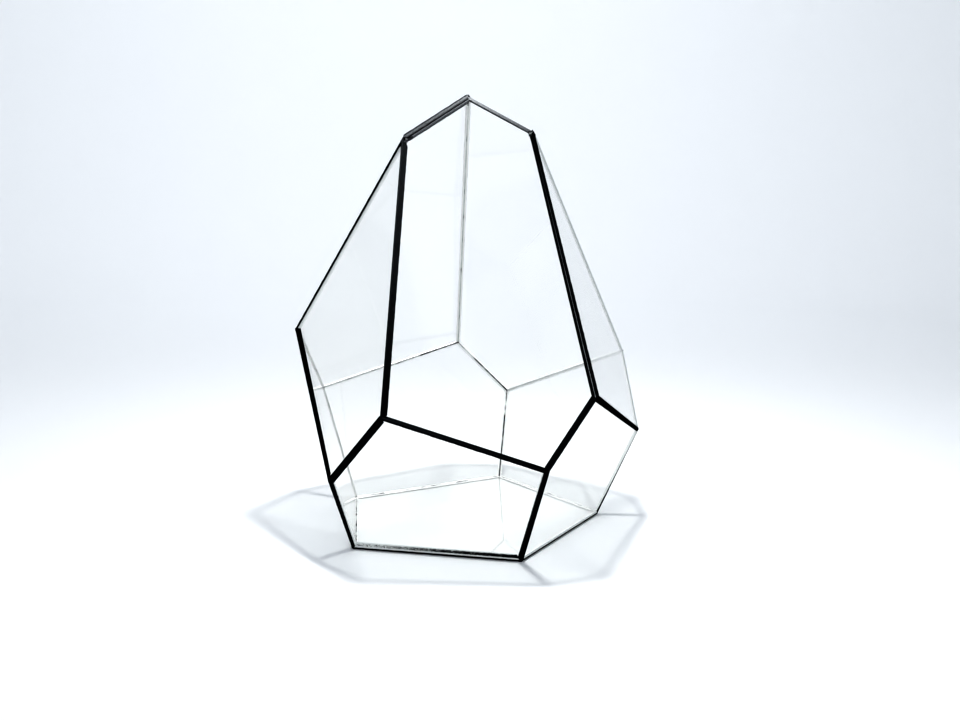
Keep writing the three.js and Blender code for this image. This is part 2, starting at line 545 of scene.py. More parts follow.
@dataclass(frozen=True)
class PatinatedSolder:
    """Tin-lead solder run by hand, blackened with patina and waxed.

    Where the patina has taken, it is a soft black with a low satin sheen, and it stays dark when seen edge
    on. Where it hasn't, pale tin shows. The mark "patina" says how well it took, from 0 to 1, and mottling
    breaks up its border. The mark "painted_sheen" is painted light: it lifts the black in patches to a
    leaden grey, a painted sheen that stands in for the overhead lamp's highlight on the rims and the joints
    by them.
    """

    black: str = "#141516"
    graphite: str = "#1f2123"
    edge_on: str = "#323436"  # of the black, seen edge on
    # painted sheen: the leaden grey that the black is lifted to where the overhead lamp's highlight falls
    painted_sheen_grey: str = "#babdbf"
    tin: str = "#dcdedc"
    mottle: float = 0.9 * MM  # size of a fleck of patina
    ripple: float = 2.4 * MM  # from one freezing ripple of the solder to the next

    def material(self) -> bpy.types.Material:
        """Builds the solder: black film over bare tin, parted by the mark and its mottling.

        Returns:
            The material.
        """
        material, tree, place = new_material("black_patina_solder")
        mark = add(tree, "Attribute", attribute_name="patina").outputs["Fac"]
        # the mark of painted sheen, standing in for the lamp's highlight on rims and joints
        painted_sheen = add(tree, "Attribute", attribute_name="painted_sheen").outputs["Fac"]
        mottle = add(tree, "TexNoise", {
            "Vector": place, "Scale": 1 / self.mottle, "Detail": 4.0, "Roughness": 0.65
        }).outputs["Fac"]
        ripple = add(tree, "TexNoise", {"Vector": place, "Scale": 1 / self.ripple, "Detail": 2.0})
        # mottling shifts the mark up or down, and the black ends in a narrow band about one half
        broken = add(tree, "MapRange", {"Value": mottle, "To Min": -0.4, "To Max": 0.4})
        taken = add(tree, "Math", {0: mark, 1: broken.outputs[0]}, operation="ADD")
        cover = add(tree, "MapRange", {"Value": taken.outputs[0], "From Min": 0.42, "From Max": 0.58})
        film = add(tree, "Mix", {
            SHARE: mottle, FROM: linear(self.black), TO: linear(self.graphite)
        }, data_type="RGBA")
        # the painted sheen lifts the black only in patches, and the flecks between stay black
        patches = add(tree, "MapRange", {"Value": mottle, "From Min": 0.25, "From Max": 0.55})
        share = add(tree, "Math", {0: painted_sheen, 1: patches.outputs[0]}, operation="MULTIPLY")
        shown = add(tree, "Mix", {
            SHARE: share.outputs[0], FROM: film.outputs[BLEND], TO: linear(self.painted_sheen_grey)
        }, data_type="RGBA")
        rough = add(tree, "MapRange", {
            "Value": mottle, "From Min": 0.3, "From Max": 0.7, "To Min": 0.38, "To Max": 0.54
        })
        height = add(tree, "Math", {0: ripple.outputs["Fac"], 1: mottle}, operation="ADD")
        bump = add(tree, "Bump", {"Height": height.outputs[0], "Strength": 0.35, "Distance": 0.12 * MM})
        patina = add(tree, "BsdfPrincipled", {
            "Base Color": shown.outputs[BLEND],
            "Metallic": 1.0,
            "Roughness": rough.outputs[0],
            "Specular Tint": linear(self.edge_on),
            "Normal": bump.outputs["Normal"],
        })
        tin = add(tree, "BsdfPrincipled", {
            "Base Color": linear(self.tin),
            "Metallic": 1.0,
            "Roughness": 0.55,
            "Normal": bump.outputs["Normal"],
        })
        surface = add(tree, "MixShader", {0: cover.outputs[0], 1: tin.outputs[0], 2: patina.outputs[0]})
        add(tree, "OutputMaterial", {"Surface": surface.outputs[0]})
        return material


@dataclass(frozen=True)
class SeamlessPaper:
    """Matt white background paper: almost no sheen, a very faint tooth."""

    colour: str = "#ebecec"
    tooth: float = 4 * MM  # coarser than real paper's, so that it shows

    def material(self) -> bpy.types.Material:
        """Builds the paper.

        Returns:
            The material.
        """
        material, tree, place = new_material("matt_background_paper")
        tooth = add(tree, "TexNoise", {"Vector": place, "Scale": 1 / self.tooth, "Detail": 2.0})
        bump = add(tree, "Bump", {"Height": tooth.outputs["Fac"], "Strength": 0.05, "Distance": 0.1 * MM})
        paper = add(tree, "BsdfPrincipled", {
            "Base Color": linear(self.colour),
            "Roughness": 0.9,
            "Specular IOR Level": 0.1,
            "Normal": bump.outputs["Normal"],
        })
        add(tree, "OutputMaterial", {"Surface": paper.outputs[0]})
        return material


# ---- Panes and tape ----


@dataclass
class Panes:
    """The ten panes. They keep the frame's solids and get their glass here."""

    nodes: dict[str, bpy.types.Object]
    level: FloatGlass = FloatGlass("level", "#fdfefd")
    upper: FloatGlass = FloatGlass("upper", "#fbfbfb")
    lower: FloatGlass = FloatGlass("lower", "#e2e3e2")

    def dress(self) -> None:
        """Gives each group of panes its glass."""
        groups = {"pane_base": self.level, "pane_upper": self.upper, "pane_lower": self.lower}
        for start, finish in groups.items():
            glass = finish.material()
            for name, pane in self.nodes.items():
                if name.startswith(start):
                    pane.data.materials.clear()
                    pane.data.materials.append(glass)
                    LOG.info("%s: %s", name, glass.name)


@dataclass
class EdgeTape:
    """A strip of copper tape round each pane, folded over both arrises and glued to the glass."""

    body: FacetedBody
    outer_lap: float = 0.57 * MM
    inner_lap: float = 0.3 * MM
    uneven_lap: Unevenness = Unevenness(18 * MM, 0.02 * MM)
    step: float = 2.5 * MM
    first_seed: int = 40  # of the first pane, and the others count on from it
    finish: SilverBackedTape = SilverBackedTape()

    def build(self) -> None:
        """Makes and dresses the tape of every pane."""
        metal = self.finish.material()
        for seed, side in enumerate((name for name in SIDES if name != OPENING), self.first_seed):
            piece = self._strip(side, seed)
            dress(piece, metal)
            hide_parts(f"foil_{side}")

    def _strip(self, side: str, seed: int) -> bpy.types.Object:
        """Builds one pane's tape.

        Its section is a thin channel, in depth in from the pane's edge and height over its outer face. A
        point at depth d lies on the outline moved in by d, so at a corner it follows the mitre: with a and b
        the inward normals of the two edges there, it moves by d (a + b) / (1 + a.b).

        Args:
            side: The pane's side.
            seed: Which chance phases to use.

        Returns:
            The strip.
        """
        outline, normal = self.body.pane_outline(side), self.body.normals[side]
        inward = -np.array([self.body.across(side, other) for other in self.body.neighbours(side)])
        before = np.roll(inward, 1, 0)
        mitre = (inward + before) / (1 + np.einsum("ij,ij->i", inward, before))[:, None]
        length = float(np.linalg.norm(np.roll(outline, -1, 0) - outline, axis=1).mean())
        steps = round(length / self.step)
        share = np.arange(steps) / steps

        out, into, deep = STOCK.tape, STOCK.bedded, -STOCK.glass
        height = np.array([out, out, deep - out, deep - out, deep + into, deep + into, -into, -into])
        on_outer_lap = np.array([1, 0, 0, 0, 0, 0, 0, 1])
        on_inner_lap = np.array([0, 0, 0, 1, 1, 0, 0, 0])
        lap = on_outer_lap * self.outer_lap + on_inner_lap * self.inner_lap
        edge_shift = np.array([0, -out, -out, 0, 0, into, into, 0])
        along = (np.arange(len(outline))[:, None] + share) * length
        uneven = self.uneven_lap.at(along, seed)[..., None] * (lap > 0)
        depth = (lap + uneven + edge_shift)[..., None]

        start = outline[:, None, None] + depth * mitre[:, None, None]
        end = np.roll(outline, -1, 0)[:, None, None] + depth * np.roll(mitre, -1, 0)[:, None, None]
        grid = start + (end - start) * share[:, None, None] + height[:, None] * normal
        return closed_piece(f"tape_{side}", grid.reshape(-1, len(height), 3), {}, is_ring=True)


# ---- Solder ----

Grade = float | dict[str, float]  # one value along a run, or a value at each end, named by its third side


class Cut(Enum):
    """Which end of a run a mitre closes. The value says which way along z the run goes from there."""

    START = 1
    END = -1


@dataclass
class SolderRun:
    """One run of solder along an edge, between the mitres at its two corners.

    Its own axes are x across it, y out of the body and z along it.
    """

    body: FacetedBody
    edge: Edge
    seed: int
    step: float = 1.3 * MM
    fewest: int = 12  # sections of the shortest run
    calm: float = 5 * MM  # length at each end over which the handwork's unevenness dies away
    patterns: int = 10  # chance patterns that each run has of its own

    def __post_init__(self) -> None:
        """Sets the axes, with z turned so that x points as wanted."""
        self.y_axis, wanted = self._lay_out()
        ends = list(self.edge.ends)
        if np.cross(self.y_axis, self.body.corners[ends[1]] - self.body.corners[ends[0]]) @ wanted < 0:
            ends.reverse()
        self.ends = ends
        self.origin, finish = (self.body.corners[key] for key in ends)
        self.length = float(np.linalg.norm(finish - self.origin))
        self.z_axis = (finish - self.origin) / self.length
        self.x_axis = np.cross(self.y_axis, self.z_axis)
        self.share = np.linspace(0, 1, max(self.fewest, round(self.length / self.step)))[:, None]

    @property
    def label(self) -> str:
        """Gives the name of the frame's node that this run stands for."""
        raise NotImplementedError

    def _lay_out(self) -> tuple[np.ndarray, np.ndarray]:
        """Gives the y axis, and a direction that x is to point along."""
        raise NotImplementedError

    def _sections(self) -> tuple[np.ndarray, ...]:
        """Gives the points of each section, where each is mitred, and the patina and the painted sheen at
        each.
        """
        raise NotImplementedError

    def build(self) -> bpy.types.Object:
        """Makes the run's mesh.

        Each section point moves from one mitre to the other in even steps, so it keeps a line of its own
        along the edge.

        Returns:
            The run.
        """
        section, mitred, patina, painted_sheen = self._sections()
        low, high = self._reach(mitred, Cut.START), self._reach(mitred, Cut.END)
        along = low + (high - low) * self.share
        across = section[..., :1] * self.x_axis + section[..., 1:] * self.y_axis
        grid = self.origin + across + along[..., None] * self.z_axis
        return closed_piece(f"solder_{self.label}", grid, {"patina": patina, "painted_sheen": painted_sheen})

    def _along(self, value: Grade) -> np.ndarray:
        """Spreads a value over the sections.

        Args:
            value: One value, or one for each end.

        Returns:
            A value for each section, changing evenly from one end's to the other's.
        """
        if not isinstance(value, dict):
            return np.full_like(self.share, value)
        start, end = (value[self.edge.third(key)] for key in self.ends)
        return start + (end - start) * self.share

    def _uneven(self, which: int, stray: Unevenness) -> np.ndarray:
        """Lets a size stray along the run, less and less towards its ends.

        Args:
            which: Which of the run's own chance patterns it follows, so that no two sizes stray alike.
            stray: How it strays.

        Returns:
            How far it has strayed at each section.
        """
        calm = np.clip(np.minimum(self.share, 1 - self.share) * self.length / self.calm, 0, 1)
        return calm * stray.at(self.share * self.length, self.seed * self.patterns + which)

    def _mitres(self, cut: Cut) -> np.ndarray:
        """Finds the two mitre planes at an end.

        Each plane holds the line into the body at one depth from all three sides, and halves the angle
        between this edge and the next one in the side that they share.

        Args:
            cut: Which end.

        Returns:
            The planes' normals, pointing off the run.
        """
        key = self.ends[0] if cut is Cut.START else self.ends[1]
        corner, own = self.body.corners[key], self.z_axis * cut.value
        third = self.edge.third(key)
        inward = np.linalg.solve(np.array([self.body.normals[name] for name in key]), -np.ones(3))
        planes = []
        for shared in self.edge.sides:
            far = next(k for k in self.body.corners if {shared, third} <= k and k != key)
            other = self.body.corners[far] - corner
            plane = np.cross(inward, own + other / np.linalg.norm(other))
            planes.append(-plane if plane @ own > 0 else plane)
        return np.array(planes)

    def _reach(self, section: np.ndarray, cut: Cut) -> np.ndarray:
        """Finds where the lines through a section's points meet the nearer mitre.

        Args:
            section: The points, in x and y.
            cut: At which end.

        Returns:
            Distance along the run for each point.
        """
        corner = 0.0 if cut is Cut.START else self.length
        met = []
        for plane in self._mitres(cut):
            flat = section @ np.array([self.x_axis @ plane, self.y_axis @ plane])
            met.append(corner - flat / (self.z_axis @ plane))
        return np.maximum(*met) if cut is Cut.START else np.minimum(*met)


class Half(Enum):
    """Whose half of a seam it is. The value is that pane's place in each pair of the seam's."""

    FIRST = 0
    SECOND = 1


@dataclass(frozen=True)
class SeamWork:
    """How one seam came out.

    width is how many times its usual width the bead has. black is how much of that width the patina covers,
    from the ridge out. Both have a value for the first pane's half and one for the second's. Past the black
    comes a streak of bare pale tin, highlight_streak metres wide, which is a painted highlight where the
    bead catches the overhead lamp, and then patina again that took only as well as past_streak says. Where
    black stops short on the seams marked below, the bare tin past it is painted light too. With run_on, what
    is wider than usual runs on to the next beads instead of being mitred. inside says how well the patina
    took on the fillet within the body.
    """

    width: tuple[Grade, Grade] = (1.0, 1.0)
    black: tuple[Grade, Grade] = (1.0, 1.0)
    highlight_streak: float = 0.0
    past_streak: Grade = 0.0
    run_on: bool = False
    inside: Grade = 0.4


# the seams that aren't as usual, by their two sides
SEAMS = {
    ("base", "lower_left"): SeamWork(inside={"lower_back": 0.52, "lower_front": 0.62}),
    ("base", "lower_back"): SeamWork(inside=0.52),
    ("base", "lower_back_right"): SeamWork(inside=0.46),
    ("lower_back", "lower_left"): SeamWork(inside=0.5),
    ("lower_back_right", "upper_back_right"): SeamWork(inside=0.1),
    ("lower_back", "upper_back_left"): SeamWork(inside={"upper_back_right": 0.66, "lower_left": 0.4}),
    # the pale bare tin past the black on this bead's lower_front half is a painted highlight, where its
    # upper face catches the overhead lamp
    ("base", "lower_front"): SeamWork(
        width=(1.0, 1.74),
        black=(1.0, 0.233),
        highlight_streak=0.9 * MM,
        run_on=True,
        past_streak={"lower_left": 0.44, "lower_front_right": 0.7},
    ),
    ("base", "lower_front_right"): SeamWork(black=(1.0, 0.5), past_streak=0.44),
    ("lower_front", "lower_front_right"): SeamWork(black=({"base": 1.0, OPENING: 0.78}, 0.72)),
    ("lower_front", "lower_left"): SeamWork(
        width=(1.0, {"base": 1.3, "upper_left": 1.0}), black=({"base": 0.7, "upper_left": 0.9}, 1.0)
    ),
    ("lower_front", "upper_left"): SeamWork(width=(1.2, 1.0), black=(1.0, 0.95)),
    ("lower_left", "upper_left"): SeamWork(width=(1.25, {"upper_back_left": 2.3, "lower_front": 1.5})),
    ("upper_back_left", "upper_left"): SeamWork(black=(1.0, 0.75)),
    ("lower_front_right", "upper_right"): SeamWork(
        width=({OPENING: 1.2, "lower_back_right": 1.0}, {OPENING: 1.4, "lower_back_right": 1.0}),
        black=({OPENING: 1.0, "lower_back_right": 0.85}, {OPENING: 1.0, "lower_back_right": 0.6}),
    ),
    ("lower_front_right", "lower_back_right"): SeamWork(black=({"upper_right": 0.4, "base": 0.98}, 1.0)),
    # the upper_right halves of the next two beads are left bare pale tin, a painted reflection of the bright
    # room that they catch edge on
    ("lower_back_right", "upper_right"): SeamWork(black=(1.0, 0.0)),
    ("upper_right", "upper_back_right"): SeamWork(black=(0.0, 1.0)),
    ("lower_back", "upper_back_right"): SeamWork(
        inside={"upper_back_left": 0.45, "lower_back_right": 0.75}
    ),
    ("lower_back_right", "lower_back"): SeamWork(inside={"upper_back_right": 0.62, "base": 0.8}),
}


@dataclass
class Seam(SolderRun):
    """A seam between two panes: a rounded bead outside, a web between the glass, a fillet inside."""

    fullness: float = 0.93  # of the crown's height, what it has on average
    uneven_width: Unevenness = Unevenness(26 * MM, 0.02)
    uneven_crown: Unevenness = Unevenness(15 * MM, 0.06)
    uneven_fillet: Unevenness = Unevenness(12 * MM, 0.2)
    uneven_patina: Unevenness = Unevenness(45 * MM, 0.14)
    web: float = 0.1 * MM  # solder between the foot of the bead and the edge of the tape
    fillet: float = 0.4 * MM  # how far the middle of the fillet stands in from the panes' inner corner
    border: float = 0.5 * MM  # half width of a ramp in the mark, over which mottling breaks up the black
    fray: float = 0.4  # how fast patina past a streak thins towards the bead's edge
    frayed: float = 0.06 * MM  # how much of its ramp is left there
    bare_ridge: float = 0.3  # cover under which the ridge starts to be bare too
    shed: float = 0.12  # how much less well than inside says the patina took along the fillet's edges
    pooled: float = 0.35  # how much better than there it took in the fillet's middle
    ridge_points: int = 7
    slope_points: int = 12
    fillet_points: int = 7

    @property
    def label(self) -> str:
        """Gives the name of the frame's node that this seam stands for."""
        return "seam_" + "_".join(self.edge.sides)

    def _lay_out(self) -> tuple[np.ndarray, np.ndarray]:
        """Gives y midway between the two panes' normals, and the second pane's normal for x."""
        first, second = (self.body.normals[name] for name in self.edge.sides)
        return (first + second) / np.linalg.norm(first + second), second

    def _sections(self) -> tuple[np.ndarray, ...]:
        """Puts both halves of the section together as one ring, the first pane's half mirrored to -x.

        Returns:
            Points of each section, where each is mitred, and the patina and the painted sheen at each.
        """
        mirror = np.array([-1, 1])
        right, right_mitred, right_patina = self._half(Half.SECOND)
        left, left_mitred, left_patina = self._half(Half.FIRST)
        section = np.concatenate([right, left[:, -2:0:-1] * mirror], 1)
        mitred = np.concatenate([right_mitred, left_mitred[:, -2:0:-1] * mirror], 1)
        patina = np.concatenate([right_patina, left_patina[:, -2:0:-1]], 1)
        return section, mitred, patina, np.zeros_like(patina)

    def _half(self, half: Half) -> tuple[np.ndarray, ...]:
        """Works out one half of the section, from the ridge round to the middle of the fillet.

        With h half the turn between the panes, the ridge is an arc of angle h, tangent to the crown's height
        over the pane. From there the height falls as (1 - s^2)^0.75 to the tape, with s from 0 to 1 at the
        bead's edge. The web follows the tape down the glass. The fillet is a parabola from its foot, on the
        inner lap, to its middle. It bends at 0.35 of the foot's x, halfway in height.

        The patina fades evenly across the black's border. There is none on the web, and on the fillet
        it rises as t^6, with t from 0 at the foot to 1 in the middle.

        Args:
            half: Whose half.

        Returns:
            Points of each section, where each is mitred, and the patina at each.
        """
        work = SEAMS.get(self.edge.sides, SeamWork())
        black, wide = (self._along(pair[half.value]) for pair in (work.black, work.width))
        chance = 1 - half.value
        h = self.body.half_turn(*self.edge.sides)
        into = np.array([math.cos(h), -math.sin(h)])
        out = np.array([math.sin(h), math.cos(h)])
        inset = self.body.inset(*self.edge.sides)
        edge = (inset + STOCK.lap) * (wide + self._uneven(chance, self.uneven_width))
        crown = STOCK.crown * (self.fullness + self._uneven(2, self.uneven_crown))
        radius = STOCK.ridge_radius

        turn = h * np.linspace(0, 1, self.ridge_points)
        ridge = radius * np.stack([np.sin(turn), np.cos(turn)], -1) * np.ones_like(crown)[..., None]
        ridge[..., 1] += (crown - radius) / math.cos(h)
        s = np.linspace(0, 1, self.slope_points)[1:]
        flat = (radius - crown) * math.tan(h)
        along = flat + (edge - flat) * s
        above = STOCK.tape + (crown - STOCK.tape) * (1 - s**2) ** 0.75
        slope = along[..., None] * into + above[..., None] * out
        usual = np.minimum(along, inset + STOCK.lap) if work.run_on else along
        drawn_in = usual[..., None] * into + above[..., None] * out

        bed = np.array([[inset + self.web, STOCK.tape], [inset - STOCK.tape, STOCK.tape]])
        bed = np.concatenate([bed, [[inset - STOCK.tape, -STOCK.glass - STOCK.tape]]])
        web = (bed[:, :1] * into + bed[:, 1:] * out) * np.ones_like(crown)[..., None]
        lap = inset + STOCK.inner_lap * (1 + self._uneven(3 + chance, self.uneven_fillet))
        foot = lap[..., None] * into - (STOCK.glass + STOCK.tape) * out
        middle = np.array([0, -STOCK.glass / math.cos(h) - self.fillet])
        bend = foot * [0.35, 0.5] + middle * [0, 0.5]
        t = np.linspace(0, 1, self.fillet_points)[:, None]
        fillet = foot * (1 - t) ** 2 + bend * 2 * t * (1 - t) + middle * t**2

        covered = np.clip((edge * black - along) / self.border, -1, 1) / 2 + 0.5
        frayed = self.fray * (edge - along) + self.frayed
        past = np.minimum(along - edge * black - work.highlight_streak, frayed) / self.border
        again = np.clip(past, 0, 1) * self._along(work.past_streak)
        outer = np.where(black < 1, np.maximum(covered, again), 1.0)
        crest = np.minimum(black / self.bare_ridge, 1.0) * np.ones(len(turn))
        inner = self._along(work.inside) + self._uneven(5, self.uneven_patina)
        inner = inner + self.pooled * t[:, 0] ** 6 - self.shed
        patina = np.concatenate([crest, outer, np.zeros((len(crest), len(bed))), inner], 1)
        section, mitred = (np.concatenate([ridge, part, web, fillet], 1) for part in (slope, drawn_in))
        return section, mitred, patina


@dataclass(frozen=True)
class RimWork:
    """How one length of rim came out, in metres.

    outer and inner are the crown's height over the two faces, outer_lap and inner_lap its laps, proud how
    far it stands out past the plane of the opening, radius the rounding of its two arrises, and groove the
    depth of the hollow between them. painted_sheen, from 0 to 1, is painted light: how far the black outside
    the hollow is lifted to a leaden grey, a painted sheen where the overhead lamp's highlight falls.
    painted_glint_line is the same for a painted glint along the middle of its face.
    """

    outer: Grade = 0.9 * MM
    inner: Grade = 0.9 * MM
    outer_lap: float = 0.6 * MM
    inner_lap: float = 0.6 * MM
    proud: float = 0.0
    radius: float = 0.8 * MM
    groove: float = 0.0
    painted_sheen: Grade = 0.0
    # painted glint: a lighter line along the middle of the face, where the rim catches the lamp
    painted_glint_line: Grade = 0.0


# the lengths of rim that aren't as usual, by their pane's side; the grey that their sheen values lift the
# black to is a painted sheen where the overhead lamp's highlight falls, and the line on upper_right is a
# painted glint
RIMS = {
    "upper_back_left": RimWork(
        outer=2.4 * MM,
        inner=2.5 * MM,
        inner_lap=1.6 * MM,
        proud=0.8 * MM,
        radius=1.2 * MM,
        groove=0.9 * MM,
        painted_sheen=0.62,
    ),
    "upper_back_right": RimWork(outer=0.1 * MM, inner=0.5 * MM, radius=0.6 * MM, painted_sheen=0.2),
    "upper_right": RimWork(
        outer={"upper_back_right": 0.8 * MM, "lower_front_right": 2.2 * MM},
        inner=0.3 * MM,
        radius=0.7 * MM,
        painted_glint_line={"upper_back_right": 0.0, "lower_front_right": 1.3},
    ),
    "upper_left": RimWork(inner=2.0 * MM, painted_sheen={"upper_back_left": 0.16, "lower_front": 0.0}),
    "lower_front": RimWork(outer_lap=1.4 * MM),
    "lower_front_right": RimWork(outer_lap=1.1 * MM),
}


@dataclass
class Rim(SolderRun):
    """A rim round a pane's free edge: a channel of solder over the tape, with two rounded arrises."""

    fullness: float = 0.95  # of the crowns' heights, what they have on average
    uneven_crown: Unevenness = Unevenness(17 * MM, 0.06)
    uneven_lap: Unevenness = Unevenness(24 * MM, 0.1)
    uneven_groove: Unevenness = Unevenness(9 * MM, 0.25)
    outer_sheen: float = 0.15  # of a grooved rim's painted sheen, what its outer side gets
    inner_sheen: float = 0.6  # what its inner side gets
    full_sheen: float = 0.4  # how far across the face the painted sheen has come up to full
    lap_points: int = 8
    arris_points: int = 7
    face_points: int = 13

    @property
    def side(self) -> str:
        """Gives the side whose pane has this rim."""
        return next(iter(set(self.edge.sides) - {OPENING}))

    @property
    def label(self) -> str:
        """Gives the name of the frame's node that this rim stands for."""
        return f"rim_{self.side}"

    def _lay_out(self) -> tuple[np.ndarray, np.ndarray]:
        """Gives y along the pane's normal, and the way into the pane for x."""
        return self.body.normals[self.side], -self.body.across(self.side, OPENING)

    def _sections(self) -> tuple[np.ndarray, ...]:
        """Works out the section: outer lap, outer arris, face, inner arris, inner lap and bed in turn.

        Each arris is a quarter circle. Over a lap the height falls as (1 - s^2.4)^0.6 to the tape, with s
        from 0 at the arris to 1 at the lap's edge. The groove is a half wave across the face,
        sin(pi t^2)^1.5 deep.

        Returns:
            Points of each section, where each is mitred, and the patina and the painted sheen at each.
        """
        work = RIMS.get(self.side, RimWork())
        steady = np.ones_like(self.share)
        deep = -STOCK.glass
        sides = []
        for which, (crown, lap) in enumerate(((work.outer, work.outer_lap), (work.inner, work.inner_lap))):
            height = self._along(crown) * (self.fullness + self._uneven(which, self.uneven_crown))
            edge = STOCK.rim_wall + lap * (1 + self._uneven(2 + which, self.uneven_lap))
            shoulder = work.radius - work.proud
            s = np.linspace(1, 0, self.lap_points)[:-1]
            over = STOCK.tape + (height - STOCK.tape) * (1 - s**2.4) ** 0.6
            slope = np.stack([shoulder + (edge - shoulder) * s, over], -1)
            turn = np.linspace(0, math.pi / 2, self.arris_points)
            arris_x = shoulder - work.radius * np.sin(turn) * steady
            arris = np.stack([arris_x, height - work.radius * (1 - np.cos(turn))], -1)
            sides.append(np.concatenate([slope, arris], 1))
        outer, inner = sides
        inner = np.stack([inner[..., 0], deep - inner[..., 1]], -1)[:, ::-1]

        t = np.linspace(0, 1, self.face_points)[1:-1]
        hollow = np.sin(math.pi * t**2) ** 1.5
        depth = work.groove * (1 + self._uneven(4, self.uneven_groove))
        face_y = outer[:, -1:, 1] + (inner[:, :1, 1] - outer[:, -1:, 1]) * t
        face = np.stack([depth * hollow - work.proud, face_y], -1)
        bed_x = STOCK.rim_wall - STOCK.tape
        bed = np.array([[bed_x, deep - STOCK.tape], [bed_x, STOCK.tape]]) * steady[..., None]
        section = np.concatenate([outer, face, inner, bed], 1)

        # painted sheen: a leaden grey over crowns and arrises where the overhead lamp's highlight falls,
        # none in the hollow
        painted_sheen = self._along(work.painted_sheen) * np.ones(section.shape[1])
        on_face = slice(outer.shape[1], outer.shape[1] + len(t))
        if work.groove:
            painted_sheen[:, : on_face.start] *= self.outer_sheen
            painted_sheen[:, on_face] *= (1 - hollow) * np.clip(t / self.full_sheen, self.outer_sheen, 1)
            painted_sheen[:, on_face.stop :] *= self.inner_sheen
        # a painted glint along the middle of the face
        middle = (on_face.start + on_face.stop) // 2
        painted_sheen[:, middle : middle + 1] += self._along(work.painted_glint_line)
        return section, section, np.ones_like(painted_sheen), painted_sheen


@dataclass
class CornerJoint:
    """The dab of solder where three runs meet: a spindle with a round head outside and a round foot inside.

    Where the opening is one of its three sides, head and foot keep their stated distances from its plane.
    """

    body: FacetedBody
    key: frozenset[str]
    seed: int
    head: float = 2.1 * MM
    foot: float = 0.8 * MM
    waist: float = 0.35  # share of its radius that it loses halfway along
    foot_depth: float = 0.15 * MM  # from the panes' inner faces in to the foot's middle
    rim_foot_rise: float = 0.2 * MM  # from the foot's middle in to those faces, at a corner of the rim
    head_proud: float = 0.2 * MM  # how far the head stands out past the plane of the opening
    foot_back: float = 0.1 * MM  # between the foot and that plane
    lump: float = 0.03  # share of its radius by which it swells and sinks
    lump_height: float = 0.8 * MM  # length over which the swelling turns by a radian
    sheen_share: float = 0.6  # share that it takes of the painted sheen of the rim with the most, among those it joins
    pole: float = 0.04  # radians short of each pole, where a small cap closes the skin
    cap_points: int = 9
    neck_points: int = 9
    round_points: int = 28

    def build(self) -> bpy.types.Object:
        """Makes the spindle.

        Its profile runs from the foot's sphere over a waist, narrowed by a half wave, to the head's sphere,
        and is carried round the line between the two centres. Its radius swells and sinks a little round it.

        Returns:
            The joint.
        """
        sunk = {name: STOCK.ridge_radius - STOCK.crown for name in self.key}
        within = {name: STOCK.glass + self.foot_depth for name in self.key}
        if OPENING in self.key:
            sunk[OPENING] = self.head - self.head_proud
            within = {name: STOCK.glass - self.rim_foot_rise for name in self.key}
            within[OPENING] = self.foot + self.foot_back
        head, foot = self.body.meet(sunk), self.body.meet(within)
        span = float(np.linalg.norm(head - foot))
        axis = (head - foot) / span
        side = np.cross(axis, [0.3, 0.5, 0.8])  # any direction that no joint points along
        side /= np.linalg.norm(side)
        front = np.cross(axis, side)

        quarter = np.linspace(self.pole, math.pi / 2, self.cap_points)
        share = np.linspace(0, 1, self.neck_points)[1:-1]
        neck = (self.foot + (self.head - self.foot) * share) * (1 - self.waist * np.sin(math.pi * share))
        height = [-self.foot * np.cos(quarter), span * share, span + self.head * np.cos(quarter[::-1])]
        radius = [self.foot * np.sin(quarter), neck, self.head * np.sin(quarter[::-1])]
        height, radius = np.concatenate(height)[:, None], np.concatenate(radius)[:, None]
        turn = np.linspace(0, 2 * math.pi, self.round_points, endpoint=False)
        phase = np.random.default_rng(self.seed).uniform(0, 2 * math.pi, 2)
        swell = self.lump * np.sin(2 * turn + phase[0]) * np.sin(height / self.lump_height + phase[1])
        ring = (radius * (1 + swell))[..., None]
        around = np.cos(turn)[:, None] * side + np.sin(turn)[:, None] * front
        grid = foot + height[..., None] * axis + ring * around

        # a joint at the opening takes part of the painted sheen of the rims that it joins
        painted_sheen_grey = [RIMS[side].painted_sheen for side in self.key & RIMS.keys() if OPENING in self.key]
        painted_sheen = self.sheen_share * max((value for value in painted_sheen_grey if isinstance(value, float)), default=0.0)
        ones = np.ones(grid.shape[:2])
        name = "solder_joint_" + "_".join(sorted(self.key))
        return closed_piece(name, grid, {"patina": ones, "painted_sheen": painted_sheen * ones})


@dataclass
class SolderWork:
    """All the solder: seams, rims and the joints at the corners."""

    body: FacetedBody
    low: Vector
    high: Vector
    finish: PatinatedSolder = PatinatedSolder()

    def build(self) -> None:
        """Makes every run and every corner joint."""
        solder = self.finish.material()
        for seed, edge in enumerate(self.body.edges):
            kind = Rim if OPENING in edge.sides else Seam
            run = kind(self.body, edge, seed)
            piece = run.build()
            self._finish(piece, solder)
            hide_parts(run.label)
        for seed, key in enumerate(sorted(self.body.corners, key=sorted)):
            self._finish(CornerJoint(self.body, key, seed).build(), solder)

    def _finish(self, piece: bpy.types.Object, solder: bpy.types.Material) -> None:
        """Keeps a piece of solder within the frame's box, and dresses it."""
        keep_within(piece, self.low, self.high)
        dress(piece, solder)


# ---- Studio ----


